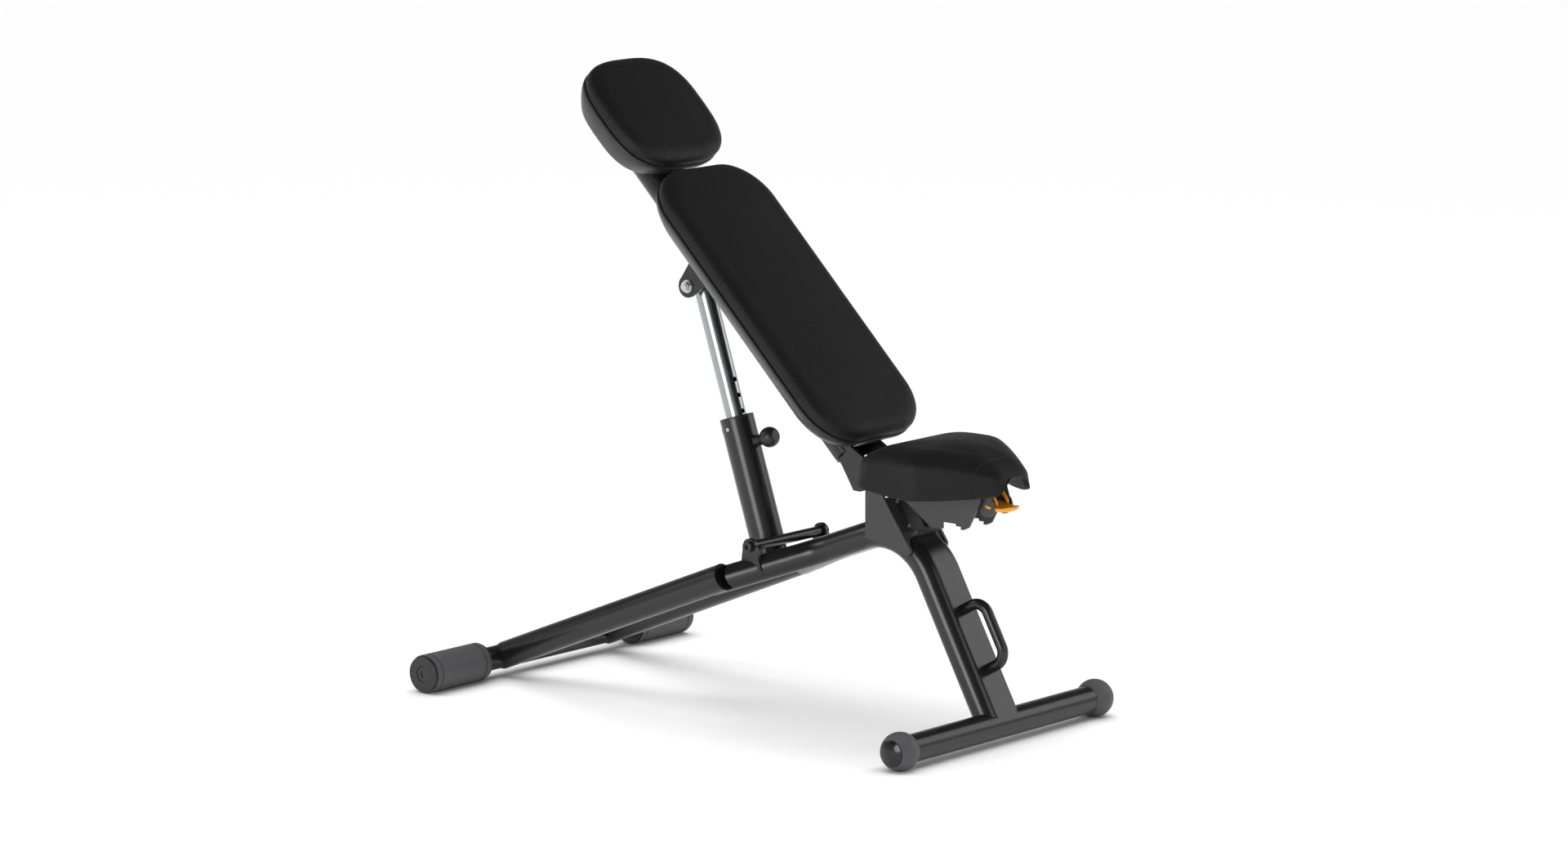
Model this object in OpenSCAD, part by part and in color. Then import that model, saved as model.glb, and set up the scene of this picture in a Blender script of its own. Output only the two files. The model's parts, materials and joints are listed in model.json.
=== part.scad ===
// Adjustable weight bench: a welded tube frame on two rear transport rollers and a front
// foot bar, a backrest with a head pad, a telescopic post that props the backrest, and a
// short seat with a release lever.
// X runs from the rollers to the foot bar, Y to the user's left and Z up, in millimetres.
// The row origin is on the floor, halfway between the rearmost and the foremost point.

/* [Footprint] */
// Distance from the roller axis to the axis of the foot bar
wheelbase = 1069; // [1040:1:1100]
// Distance between the outer faces of the two rollers
overall_w = 730; // [700:1:760]
// Diameter of the transport rollers
roller_d = 72; // [68:1:76]
// Length of one transport roller
roller_len = 155; // [140:1:160]
// Distance between the centres of the two ball feet
foot_span = 566; // [520:1:620]
// Diameter of the ball feet
ball_d = 70; // [66:1:74]

/* [Frame tubes] */
// Outer diameter of the round frame tubes
tube_d = 50.8; // [48:0.1:51]
// Outer diameter of the two bent fork tubes
fork_d = 48.3; // [46:0.1:49]
// Width of the flat-oval spine and backrest tubes
oval_w = 98; // [94:1:100]
// Thickness of the flat-oval tubes
oval_t = 49; // [46:0.5:50]
// Wall thickness of the frame tubes
tube_wall = 3; // [2:0.5:4]
// Outer diameter of the cross tube between the rollers
cross_d = 45; // [42:1:48]
// Radius of the bend in the spine, measured on its centre line
spine_bend_r = 120; // [110:1:130]
// Slope of the front leg
front_leg_pitch = 61.2; // [60:0.1:63]
// Slope of the spine where the two fork tubes join it
spine_pitch = 21; // [20:0.5:22]
// Length of the straight front leg
front_leg_len = 292; // [286:1:298]

/* [Backrest and post] */
// Distance from the roller axis to the backrest hinge
hinge_reach = 812; // [808:1:816]
// Height of the backrest hinge
hinge_h = 452; // [448:1:456]
// Angle of the backrest above level
back_angle = 45; // [43:0.5:47]
// Outer diameter of the lower, black tube of the post
sleeve_d = 63.5; // [60:0.5:64]
// Outer diameter of the upper, chromed tube of the post
chrome_d = 38.1; // [36:0.1:40]
// Length of the back pad
back_len = 628; // [600:1:632]
// Width of the back pad
back_w = 286; // [270:1:300]
// Length of the head pad
head_len = 246; // [220:1:248]
// Width of the head pad
head_w = 266; // [250:1:280]
// Thickness of the upholstery on the back and head pads
cushion_t = 38; // [34:1:40]

/* [Seat] */
// Length of the seat cushion
seat_len = 276; // [270:1:280]
// Width of the seat cushion at its widest
seat_w = 284; // [270:1:300]
// Width of the seat cushion at its nose
nose_w = 104; // [96:1:110]

/* [Hidden] */
$fn = 48;
seam = 0.02;             // hairline between two lengths of one tube
run_fit = 0.05;          // radial clearance of a turning or sliding fit
gap = 0.5;               // clearance between bodies that pass each other
roller_r = roller_d / 2;
foot_z = ball_d / 2 - 1; // the balls have a small flat where they meet the floor
seat_rear = 833;         // distance from the roller axis to the seat's rear edge
front_x = max(seat_rear + seat_len, wheelbase + ball_d / 2);
mid_x = (front_x - roller_r) / 2;

// ---- shared shapes ----

// Everything is drawn with X measured from the roller axis, then moved to the row origin.
module from_axle() translate([-mid_x, 0, 0]) children();

module along_y(length) rotate([90, 0, 0]) translate([0, 0, -length / 2]) children();

module rod_y(d, length) along_y(length) cylinder(d = d, h = length);

module ring_y(od, id, length) along_y(length) difference() {
    cylinder(d = od, h = length);
    translate([0, 0, -1]) cylinder(d = id, h = length + 2);
}

module pipe(od, wall, length) difference() {
    cylinder(d = od, h = length);
    translate([0, 0, -1]) cylinder(d = od - 2 * wall, h = length + 2);
}

// A stadium: a rectangle with half-round ends, w along X and t along Y.
module stadium(w, t) {
    square([w - t, t], center = true);
    for (s = [-1, 1]) translate([s * (w - t) / 2, 0]) circle(d = t);
}

// A rectangle with rounded corners, centred, l along X and w along Y.
module round_rect(l, w, r) {
    square([l - 2 * r, w], center = true);
    square([l, w - 2 * r], center = true);
    for (sx = [-1, 1], sy = [-1, 1]) translate([sx * (l / 2 - r), sy * (w / 2 - r)]) circle(r = r);
}

// A plate of thickness t, drawn in X and Z, with its middle at y.
module plate_xz(points, y, t) translate([0, y + t / 2, 0]) rotate([90, 0, 0])
    linear_extrude(t) polygon(points);

module screw_head(d, h) difference() {
    cylinder(d = d, h = h);
    translate([0, 0, h / 2]) cylinder(d = d / 2, h = h, $fn = 6);
}

// ---- frame: rollers, cross tube, legs, forks, spine, foot bar ----

leg_rear_y = 148;        // the leg's distance from the middle at the cross tube
leg_front_y = 132;       // and at its open front end
leg_run = 537;           // length of the leg, seen from above
leg_rise = 218;
leg_len = norm([leg_run, leg_rise, leg_rear_y - leg_front_y]);
leg_pitch = atan2(leg_rise, leg_run);
leg_splay = atan2(leg_rear_y - leg_front_y, norm([leg_run, leg_rise]));
roller_in = overall_w / 2 - roller_len;
cross_len = 2 * roller_in - 8;
axle_d = 20;

bend_start = [wheelbase - front_leg_len * cos(front_leg_pitch), foot_z + front_leg_len * sin(front_leg_pitch)];
bend_centre = bend_start - spine_bend_r * [sin(front_leg_pitch), cos(front_leg_pitch)];
bend_end = bend_centre + spine_bend_r * [-sin(spine_pitch), cos(spine_pitch)];
spine_tail = 80;         // straight part of the spine behind the bend
fork_root = bend_end - spine_tail * [cos(spine_pitch), sin(spine_pitch)];
fork_bend_r = 110;
fork_angle = 30;
fork_straight = 182;

module on_leg(side) translate([0, side * leg_rear_y, roller_r])
    rotate([0, 0, -side * leg_splay]) rotate([0, 90 - leg_pitch, 0]) children();

module leg_tube(side) color("#1b1b1c") difference() {
    on_leg(side) pipe(tube_d, tube_wall, leg_len);
    translate([0, 0, roller_r]) rod_y(cross_d, cross_len + 2);
    translate([-150, side * leg_rear_y - 60, -10]) cube([150, 120, 120]);
}

module leg_plug(side) color("#2c2c2d") on_leg(side) translate([0, 0, leg_len - 14])
    difference() {
        cylinder(d = tube_d - 2 * tube_wall, h = 10);
        translate([0, 0, 4]) cylinder(d = tube_d - 2 * tube_wall - 9, h = 7);
    }

// The fork tube leaves the spine beside its twin, bends outwards and butts into the leg.
// The right one is drawn, and the left one is its mirror image.
module mirrored(side) {
    if (side > 0) mirror([0, 1, 0]) children();
    else children();
}

module on_fork() translate([fork_root[0], -fork_d / 2 - 0.2, fork_root[1]]) rotate([0, -spine_pitch, 0]) children();

module fork_bend() on_fork() translate([0, -fork_bend_r, 0]) rotate([0, 0, 90])
    rotate_extrude(angle = fork_angle) translate([fork_bend_r, 0]) difference() {
        circle(d = fork_d);
        circle(d = fork_d - 2 * tube_wall);
    }

module on_fork_run() on_fork()
    translate([-fork_bend_r * sin(fork_angle), -fork_bend_r * (1 - cos(fork_angle)), 0])
        rotate([0, 0, fork_angle]) rotate([0, -90, 0]) translate([0, 0, seam]) children();

module fork_tube(side) color("#1b1b1c") mirrored(side) {
    fork_bend();
    difference() {
        on_fork_run() pipe(fork_d, tube_wall, fork_straight);
        on_leg(-1) cylinder(d = tube_d - 0.02, h = leg_len + 5);
    }
}

module cross_tube() color("#1b1b1c") translate([0, 0, roller_r]) difference() {
    rod_y(cross_d, cross_len);
    rod_y(axle_d, cross_len + 2);
}

module axle(side) color("#8d8f92") translate([0, side * (overall_w / 2 + roller_in - 54) / 2, roller_r])
    difference() {
        rod_y(axle_d, overall_w / 2 - roller_in + 46);
        translate([0, side * (overall_w / 2 - roller_in + 16) / 2, 0]) rod_y(6, 32);
    }

// The spine's flat-oval section, across the tube along X.
module oval_section() difference() {
    stadium(oval_w, oval_t);
    stadium(oval_w - 2 * tube_wall, oval_t - 2 * tube_wall);
}

module on_front_leg() translate([wheelbase, 0, foot_z]) rotate([0, front_leg_pitch - 90, 0]) children();

// One bent tube in three lengths: the front leg, the bend and the tail that the forks meet.
module spine_tube() color("#1b1b1c") {
    difference() {
        on_front_leg() rotate([0, 0, 90]) linear_extrude(front_leg_len - seam) oval_section();
        translate([wheelbase, 0, foot_z]) rod_y(tube_d, 200);
    }
    translate([bend_centre[0], 0, bend_centre[1]]) rotate([90, 0, 0]) rotate([0, 0, 90 - front_leg_pitch])
        rotate_extrude(angle = front_leg_pitch + spine_pitch)
            translate([spine_bend_r, 0]) rotate(90) oval_section();
    translate([bend_end[0], 0, bend_end[1]]) rotate([0, -90 - spine_pitch, 0])
        translate([0, 0, seam]) rotate([0, 0, 90]) linear_extrude(spine_tail - seam) oval_section();
}

module foot_tube() color("#1b1b1c") translate([wheelbase, 0, foot_z]) ring_y(tube_d, tube_d - 2 * tube_wall, foot_span + 20);

ball_cut = 24;           // from the ball's centre to its flat outer end

module ball_foot(side) color("#55565a") translate([wheelbase, side * foot_span / 2, foot_z]) difference() {
    sphere(d = ball_d, $fn = 64);
    rod_y(tube_d + 0.02, 20.02);
    translate([0, -side * 30, 0]) rod_y(tube_d + 0.02, 60);
    translate([-50, side > 0 ? ball_cut : -ball_cut - 50, -50]) cube([100, 50, 100]);
    translate([0, side * 20, 0]) rod_y(26, 40);
    translate([-50, -50, -foot_z - 10]) cube([100, 100, 10]);
}

module ball_foot_cap(side) color("#0c0c0d") translate([wheelbase, side * (foot_span / 2 + ball_cut), foot_z])
    rotate([side > 0 ? -90 : 90, 0, 0]) {
        intersection() {
            translate([0, 0, -44]) sphere(r = 52, $fn = 64);
            cylinder(d = 48, h = 12);
        }
        translate([0, 0, -12]) cylinder(d = 26, h = 12);
    }

// Grab handle, in the front leg's own frame: X away from the leg, Z up along it.
handle_d = 20;
handle_low = 97;
handle_high = 213;
handle_out = 72;
handle_bend = 26;

module grab_handle() color("#161617") on_front_leg() {
    for (end = [-1, 1]) translate([0, 0, end < 0 ? handle_low : handle_high]) {
        translate([oval_t / 2, 0, 0]) rotate([0, 90, 0]) cylinder(d = handle_d, h = handle_out - handle_bend - oval_t / 2);
        translate([handle_out - handle_bend, 0, -end * handle_bend]) rotate([90, 0, 0])
            rotate([0, 0, end < 0 ? -90 : 0]) rotate_extrude(angle = 90)
                translate([handle_bend, 0]) circle(d = handle_d);
    }
    translate([handle_out, 0, handle_low + handle_bend])
        cylinder(d = handle_d, h = handle_high - handle_low - 2 * handle_bend);
}

module roller_hub(side) color("#17171a") translate([0, side * (overall_w / 2 - roller_len / 2), roller_r]) difference() {
    union() {
        rod_y(roller_d - 14, roller_len - 4);
        translate([0, -side * (roller_len / 2 - 3), 0]) rod_y(roller_d - 5, 6);
        translate([0, side * (roller_len / 2 - 3), 0]) rod_y(roller_d - 5, 6);
    }
    rod_y(axle_d + 2 * run_fit, roller_len + 2);
    translate([0, side * roller_len / 2, 0]) rod_y(30, 8);
}

module roller(side) color("#5c5d61") translate([0, side * (overall_w / 2 - roller_len / 2), roller_r]) difference() {
    rod_y(roller_d, roller_len - 12);
    rod_y(roller_d - 14, roller_len);
    for (end = [-1, 1]) translate([0, end * (roller_len / 2 - 18), 0]) ring_y(roller_d + 2, roller_d - 3, 2.5);
}

module axle_screw(side) color("#8d8f92") translate([0, side * (overall_w / 2 - 4), roller_r])
    rotate([side > 0 ? -90 : 90, 0, 0]) {
        screw_head(28, 3);
        translate([0, 0, -22]) cylinder(d = 6, h = 22);
    }

// ---- seat and hinge supports on the spine ----

cheek_t = 6;
cheek_y = oval_w / 2 + cheek_t / 2;

module cheek_plate(side) color("#3b3b3d") difference() {
    union() {
        plate_xz([[804, 349], [902, 327], [908, 332], [908, 338], [834, 443], [828, 452], [804, 452]],
            side * cheek_y, cheek_t);
        translate([hinge_reach, side * cheek_y, hinge_h]) rod_y(30, cheek_t);
    }
    translate([hinge_reach, side * cheek_y, hinge_h]) rod_y(hinge_shaft_d, cheek_t + 2);
}

hinge_shaft_d = 16;

module hinge_shaft() color("#8d8f92") translate([hinge_reach, 0, hinge_h]) rod_y(hinge_shaft_d, oval_w + 2 * cheek_t + 2);

module hinge_shaft_nuts() color("#8d8f92") for (side = [-1, 1])
    translate([hinge_reach, side * (oval_w / 2 + cheek_t + 1), hinge_h]) rotate([side > 0 ? -90 : 90, 0, 0])
        screw_head(24, 7);

// An inclined plate between the cheeks carries two strips for the seat's plates to rest on.
strip_y = 29;
strip_screw_z = [34, 84];

module on_stop() translate([899, 0, 345]) rotate([0, -33, 0]) children();

module seat_stop_bracket() color("#2a2a2c") on_stop() {
    translate([-6, -oval_w / 2, 0]) cube([6, oval_w, 96]);
    translate([-1, -oval_w / 2 + 12, 12]) cube([25, oval_w - 24, 5]);
}

module guide_strip() color("#101011") on_stop() for (s = [-1, 1])
    translate([0, s * strip_y - 7, 26]) difference() {
        cube([4, 14, 66]);
        for (z = strip_screw_z) translate([-1, 7, z - 26]) rotate([0, 90, 0]) cylinder(d = 4, h = 8);
    }

module guide_strip_screws() color("#b7b9bc") on_stop() for (s = [-1, 1], z = strip_screw_z)
    translate([4, s * strip_y, z]) rotate([0, 90, 0]) {
        screw_head(8, 2);
        translate([0, 0, -4]) cylinder(d = 4, h = 4);
    }

// ---- post pivot on the fork tubes ----

post_rod = [573, 310];   // X and Z of the pivot tube in front of the sleeve
lug_y = 101;
lug_t = 8;

module post_lug(side) color("#1b1b1c") mirrored(side) difference() {
    union() {
        translate([post_rod[0], -lug_y, post_rod[1]]) rod_y(30, lug_t);
        plate_xz([[558, 310], [588, 310], [602, 268], [552, 262]], -lug_y, lug_t);
    }
    translate([post_rod[0], -lug_y, post_rod[1]]) rod_y(12, lug_t + 2);
    on_fork_run() cylinder(d = fork_d, h = fork_straight);
}

module post_pivot_tube() color("#242425") translate([post_rod[0], 0, post_rod[1]])
    ring_y(19, 12, 2 * lug_y - lug_t);

module post_pivot_bolts() color("#3c3c3e") for (side = [-1, 1])
    translate([post_rod[0], side * (lug_y + lug_t / 2), post_rod[1]]) rotate([side > 0 ? -90 : 90, 0, 0]) {
        screw_head(20, 7);
        translate([0, 0, -40]) cylinder(d = 12, h = 40);
    }

// ---- backrest, in its own frame: X down towards the seat, Z out of the pads ----

module on_backrest() translate([hinge_reach, 0, hinge_h]) rotate([0, back_angle, 0]) children();

back_tube_z = -25;
back_tube_low = -78;
pad_low = -63;
pad_gap = 17;
head_low = pad_low - back_len - pad_gap;
back_tube_high = head_low - head_len + 40;
seam_z = 31.5;
shell_z = -6;
ear_at = [-529, -90];    // the post's upper pivot, in the backrest's frame
ear_t = 6;
ear_y = 42;

module back_tube() color("#1b1b1c") on_backrest() translate([back_tube_high, 0, back_tube_z])
    rotate([0, 90, 0]) rotate([0, 0, 90]) linear_extrude(back_tube_low - back_tube_high) oval_section();

module back_tube_plug() color("#151516") on_backrest() translate([back_tube_high - 3, 0, back_tube_z]) rotate([0, 90, 0])
    rotate([0, 0, 90]) {
        linear_extrude(3) stadium(oval_w, oval_t);
        linear_extrude(18) stadium(oval_w - 2 * tube_wall, oval_t - 2 * tube_wall);
    }

hinge_plate_y = 40;

module hinge_plate(side) color("#1b1b1c") on_backrest() difference() {
    union() {
        plate_xz([[-110, back_tube_z - 14], [-67, -36], [-15, -48], [-4, -38], [12, -8], [12, 6], [-20, 18], [-110, -6]],
            side * hinge_plate_y, 8);
        translate([0, side * hinge_plate_y, 0]) rod_y(40, 8);
    }
    translate([0, side * hinge_plate_y, 0]) rod_y(hinge_shaft_d + 2 * run_fit, 10);
    translate([-300, 0, back_tube_z]) rotate([0, 90, 0]) rotate([0, 0, 90])
        linear_extrude(300 + back_tube_low) stadium(oval_w + 0.04, oval_t + 0.04);
}

module post_ear(side) color("#1b1b1c") on_backrest() difference() {
    union() {
        translate([ear_at[0], side * ear_y, ear_at[1]]) rod_y(42, ear_t);
        plate_xz([[ear_at[0] - 21, ear_at[1]], [ear_at[0] + 21, ear_at[1]],
            [ear_at[0] + 34, back_tube_z], [ear_at[0] - 34, back_tube_z]], side * ear_y, ear_t);
    }
    translate([ear_at[0], side * ear_y, ear_at[1]]) rod_y(12, ear_t + 2);
    translate([-900, 0, back_tube_z]) rotate([0, 90, 0]) rotate([0, 0, 90])
        linear_extrude(850) stadium(oval_w, oval_t);
}

module ear_bolt() color("#a9abae") on_backrest() translate([ear_at[0], 0, ear_at[1]]) {
    rod_y(12, 2 * ear_y + ear_t);
    for (side = [-1, 1]) translate([0, side * (ear_y + ear_t / 2), 0]) rotate([side > 0 ? -90 : 90, 0, 0]) {
        cylinder(d = 24, h = 1.6);
        translate([0, 0, 1.6]) cylinder(d = 19, h = 7, $fn = 6);
        translate([0, 0, 8.6]) cylinder(d = 11, h = 2);
    }
}

// A moulded shell under a pad, narrower below by twice inset, with a channel for the tube.
module shell(l, w, r, low, inset) difference() {
    hull() {
        translate([0, 0, seam_z - 4]) linear_extrude(4) round_rect(l - 6, w - 6, r - 3);
        translate([0, 0, low]) linear_extrude(4) round_rect(l - 46, w - 2 * inset, r - 20);
    }
    translate([-l, 0, back_tube_z]) rotate([0, 90, 0]) rotate([0, 0, 90])
        linear_extrude(2 * l) stadium(oval_w + 0.04, oval_t + 0.04);
    translate([-l / 2 + 30, -w / 2 + 40, 4]) cube([l - 60, w - 80, seam_z - 12]);
}

module back_shell() color("#343436") on_backrest() difference() {
    translate([pad_low - back_len / 2, 0, 0]) shell(back_len, back_w, 90, shell_z, 30);
    for (s = [-1, 1]) translate([pad_low - 60, s * hinge_plate_y - 4.02, -20]) cube([70, 8.04, 26]);
}

module head_shell() color("#343436") on_backrest() translate([head_low - head_len / 2, 0, 0])
    shell(head_len, head_w, 80, shell_z - 6, 18);

module cushion(l, w, r) hull() {
    translate([0, 0, seam_z]) linear_extrude(4) round_rect(l, w, r);
    translate([0, 0, seam_z + cushion_t * 0.6]) linear_extrude(1) round_rect(l - 8, w - 8, r - 4);
    translate([0, 0, seam_z + cushion_t - 1]) linear_extrude(1) round_rect(l - 50, w - 50, r - 20);
}

module back_cushion() color("#151516") on_backrest() translate([pad_low - back_len / 2, 0, 0])
    cushion(back_len, back_w, 90);

module head_cushion() color("#151516") on_backrest() translate([head_low - head_len / 2, 0, 0])
    cushion(head_len, head_w, 80);

// Screws that hold the two shells to the tube, from below.
module pad_screws() color("#8d8f92") on_backrest()
    for (x = [pad_low - 120, pad_low - back_len + 90, head_low - 60, head_low - head_len + 60])
        translate([x, 0, back_tube_z - oval_t / 2]) rotate([180, 0, 0]) screw_head(13, 4);

// ---- telescopic post, in its own frame: Z down from the upper pivot to the frame ----

eye = [hinge_reach + ear_at[0] * cos(back_angle) + ear_at[1] * sin(back_angle),
    hinge_h - ear_at[0] * sin(back_angle) + ear_at[1] * cos(back_angle)];
rod_back = 45;           // distance from the pivot tube's axis to the sleeve's axis
post_span = norm(post_rod - eye);
post_lean = atan2(post_rod[0] - eye[0], eye[1] - post_rod[1]) - asin(rod_back / post_span);
post_reach = sqrt(post_span * post_span - rod_back * rod_back);
sleeve_top = post_reach - 235;
sleeve_len = 300;
chrome_len = 450;
pin_at = 48;

module on_post() translate([eye[0], 0, eye[1]]) rotate([0, 180 - post_lean, 0]) children();

module chrome_post() color("#d9dadc") on_post() difference() {
    union() {
        translate([0, 0, 8]) cylinder(d = chrome_d, h = chrome_len - 8);
        rod_y(30, 2 * (ear_y - ear_t / 2) - 2 * gap);
    }
    rod_y(12 + 2 * run_fit, 2 * ear_y);
    translate([0, 0, 40]) cylinder(d = chrome_d - 6, h = chrome_len);
    for (step = [0:6]) translate([0, 0, sleeve_top + pin_at - step * 30 + 60]) rotate([0, -90, 0])
        cylinder(d = 9, h = chrome_d);
}

module post_sleeve() color("#1d1d1e") on_post() difference() {
    translate([0, 0, sleeve_top]) pipe(sleeve_d, 3, sleeve_len);
    translate([0, 0, sleeve_top + pin_at]) rotate([0, -90, 0]) cylinder(d = 14, h = sleeve_d);
}

module guide_bush() color("#0f0f10") on_post() difference() {
    union() {
        translate([0, 0, sleeve_top - 5]) cylinder(d = sleeve_d, h = 5);
        translate([0, 0, sleeve_top]) cylinder(d = sleeve_d - 6, h = 90);
    }
    translate([0, 0, sleeve_top - 6]) cylinder(d = chrome_d + 2 * run_fit, h = 100);
    translate([0, 0, sleeve_top + pin_at]) rotate([0, -90, 0]) cylinder(d = 14, h = sleeve_d);
}

module guide_bush_screws() color("#a9abae") on_post() for (turn = [0, 60, 120])
    translate([0, 0, sleeve_top + 16]) rotate([90, 0, turn]) translate([0, 0, sleeve_d / 2 - 0.6]) screw_head(7, 2.2);

module pin_housing() color("#161617") on_post() translate([0, 0, sleeve_top + pin_at]) rotate([0, -90, 0]) difference() {
    union() {
        translate([0, 0, chrome_d / 2 + 1]) cylinder(d = 14, h = 25);
        translate([0, 0, sleeve_d / 2]) cylinder(d = 24, h = 5, $fn = 6);
        translate([0, 0, sleeve_d / 2 + 5]) cylinder(d = 20, h = 8);
    }
    cylinder(d = 8 + 2 * run_fit, h = 60);
    translate([0, 0, chrome_d / 2 + 6]) cylinder(d = 11, h = 16);
}

module pop_pin() color("#202022") on_post() translate([0, 0, sleeve_top + pin_at]) rotate([0, -90, 0]) {
    translate([0, 0, chrome_d / 2 + gap]) cylinder(d = 8, h = 40);
    difference() {
        union() {
            translate([0, 0, 66]) sphere(d = 38);
            translate([0, 0, sleeve_d / 2 + 14]) cylinder(d = 18, h = 12);
        }
        translate([0, 0, 82]) cylinder(d = 50, h = 10);
    }
}

module pin_spring() color("#a9abae") on_post() translate([0, 0, sleeve_top + pin_at]) rotate([0, -90, 0])
    translate([0, 0, chrome_d / 2 + 7]) difference() {
        cylinder(d = 10.6, h = 13);
        translate([0, 0, -1]) cylinder(d = 8.6, h = 15);
    }

// ---- seat ----

seat_mid = seat_rear + seat_len / 2;
seat_low = 462;
seat_plate_y = 33;
plate_t = 5;

// Outline of the seat seen from above: straight rear, round corners, tapering to the nose.
module seat_outline(inset) {
    front = seat_rear + seat_len - inset;
    rear = seat_rear + inset;
    wide = seat_w / 2 - inset;
    nose = nose_w / 2 - inset;
    corner = 40 - inset / 2;
    nose_corner = 40 - inset / 2;
    hull() {
        for (s = [-1, 1]) {
            translate([rear + corner, s * (wide - corner)]) circle(r = corner);
            translate([seat_rear + 120, s * (wide - corner)]) circle(r = corner);
            translate([front - nose_corner, s * (nose - nose_corner)]) circle(r = nose_corner);
        }
    }
}

skirt_r = 700;           // radius of the curve along the skirt's lower edge
nose_arch = 26;          // radius of the arch under the nose
skirt_drop = 16;         // how far the skirt's lowest point is below its rear end

module seat_cushion() color("#151516") difference() {
    intersection() {
        hull() {
            translate([0, 0, seat_low - skirt_drop]) linear_extrude(1) seat_outline(0);
            translate([0, 0, seat_low + 40]) linear_extrude(1) seat_outline(4);
            translate([-4, 0, seat_low + 60]) linear_extrude(1) seat_outline(20);
            translate([-16, 0, seat_low + 73]) linear_extrude(1) seat_outline(46);
        }
        translate([seat_mid + 10, 0, seat_low - skirt_drop + skirt_r]) rod_y(2 * skirt_r, seat_w + 40);
    }
    translate([0, 0, seat_low - skirt_drop - 1]) linear_extrude(31 + skirt_drop) seat_outline(18);
    translate([seat_rear - 1, -45, seat_low - skirt_drop - 1]) cube([24, 90, 31 + skirt_drop]);
    translate([seat_rear + seat_len - 60, 0, seat_low - 4]) rotate([0, 90, 0]) cylinder(r = nose_arch, h = 70);
}

module seat_pan() color("#242425") {
    translate([0, 0, seat_low + 24]) linear_extrude(5.5) seat_outline(19);
    for (s = [-1, 1]) translate([875, s * (seat_plate_y - 8) - 2, seat_low + 4]) cube([150, 4, 20]);
}

lever_axis = [1040, seat_low + 6];
lever_pin_d = 8;
notch_rear = 965;        // the notch in the lower edge of each seat plate
notch_w = 31;
notch_h = 9;

module seat_plate(side) color("#3b3b3d") difference() {
    union() {
        plate_xz([[820, hinge_h - 14], [868, 430], [940, 381], [953, 381], [1014, 385], [1024, 390],
            [1050, 438], [1058, seat_low + 24], [840, seat_low + 24], [806, hinge_h + 14]],
            side * seat_plate_y, plate_t);
        translate([hinge_reach, side * seat_plate_y, hinge_h]) rod_y(32, plate_t);
    }
    translate([notch_rear, side * seat_plate_y - plate_t, 370]) cube([notch_w, 2 * plate_t, notch_h + 15]);
    translate([notch_rear + 8, side * seat_plate_y - plate_t, 370]) cube([notch_w + 3, 2 * plate_t, 20]);
    translate([hinge_reach, side * seat_plate_y, hinge_h]) rod_y(hinge_shaft_d + 2 * run_fit, plate_t + 2);
    translate([lever_axis[0], side * seat_plate_y, lever_axis[1]]) rod_y(lever_pin_d, plate_t + 2);
}

module lever_pin() color("#8d8f92") translate([lever_axis[0], 0, lever_axis[1]])
    rod_y(lever_pin_d, 2 * seat_plate_y + plate_t);

module lever_spring() color("#a9abae") translate([lever_axis[0], 0, lever_axis[1]]) ring_y(13, lever_pin_d + 1, 14);

hook_y = 25;
hook_t = 4;

// Two dark hooks on the lever's shaft turn with it.
module latch_hooks() color("#3b3b3d") for (s = [-1, 1]) difference() {
    union() {
        plate_xz([[1030, 440], [1074, 430], [1060, seat_low + 8], [1030, seat_low + 12]], s * hook_y, hook_t);
        translate([1058, s * hook_y, 430]) rod_y(36, hook_t);
    }
    translate([lever_axis[0], s * hook_y, lever_axis[1]]) rod_y(lever_pin_d + 2 * run_fit, hook_t + 2);
}

lever_y = 16;

module seat_lever() color("#f0aa14") difference() {
    union() {
        for (s = [-1, 1]) hull() {
            translate([lever_axis[0], s * lever_y, lever_axis[1]]) rod_y(16, 5);
            translate([1072, s * lever_y, 438]) rod_y(10, 5);
        }
        hull() {
            translate([1070, 0, 434]) rod_y(9, 62);
            translate([1098, 0, 425]) rod_y(7, 36);
        }
    }
    translate([lever_axis[0], 0, lever_axis[1]]) rod_y(lever_pin_d + 2 * run_fit, 60);
}

// ---- selection ----

from_axle() spine_tube();
from_axle() cross_tube();
from_axle() foot_tube();
from_axle() grab_handle();
from_axle() seat_stop_bracket();
from_axle() guide_strip();
from_axle() guide_strip_screws();
from_axle() hinge_shaft();
from_axle() hinge_shaft_nuts();
from_axle() post_pivot_tube();
from_axle() post_pivot_bolts();
for (name = ["left", "right"]) {
    side = name == "left" ? 1 : -1;
    from_axle() leg_tube(side);
    from_axle() fork_tube(side);
    from_axle() leg_plug(side);
    from_axle() axle(side);
    from_axle() axle_screw(side);
    from_axle() roller(side);
    from_axle() roller_hub(side);
    from_axle() ball_foot(side);
    from_axle() ball_foot_cap(side);
    from_axle() cheek_plate(side);
    from_axle() post_lug(side);
    from_axle() hinge_plate(side);
    from_axle() post_ear(side);
    from_axle() seat_plate(side);
}
from_axle() back_tube();
from_axle() back_tube_plug();
from_axle() ear_bolt();
from_axle() back_shell();
from_axle() back_cushion();
from_axle() head_shell();
from_axle() head_cushion();
from_axle() pad_screws();
from_axle() chrome_post();
from_axle() post_sleeve();
from_axle() guide_bush();
from_axle() guide_bush_screws();
from_axle() pin_housing();
from_axle() pop_pin();
from_axle() pin_spring();
from_axle() seat_pan();
from_axle() seat_cushion();
from_axle() latch_hooks();
from_axle() seat_lever();
from_axle() lever_pin();
from_axle() lever_spring();
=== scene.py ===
"""Looks of the adjustable weight bench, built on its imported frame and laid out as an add-on."""

import json
import math

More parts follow.
